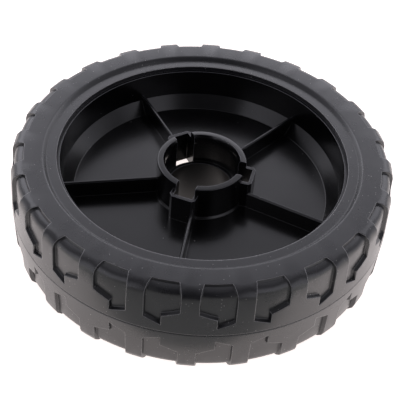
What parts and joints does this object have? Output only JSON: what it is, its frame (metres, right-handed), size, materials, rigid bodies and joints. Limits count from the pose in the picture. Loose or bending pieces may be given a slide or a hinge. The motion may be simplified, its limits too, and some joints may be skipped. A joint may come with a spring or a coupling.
{
  "type": "wheel",
  "caption": "Black mower wheel lying flat: moulded plastic rim with a ribbed web, slotted hub and empty bearing seat, under a moulded tyre with stepped pockets along both tread shoulders.",
  "frame": {"origin": "centre of the wheel, on the axle axis and midway between the two sidewalls", "axes": "+Z along the axle axis towards the outer side that the picture shows; +X and +Y across the wheel; the wheel lies flat on its inner sidewall"},
  "size_m": [0.18, 0.18, 0.05],
  "materials": {
    "rim_plastic": "satin moulded",
    "tyre_plastic": "satin moulded"
  },
  "bodies": {
    "root": {"rim": "rim_plastic", "tyre": "tyre_plastic"}
  },
  "joints": []
}
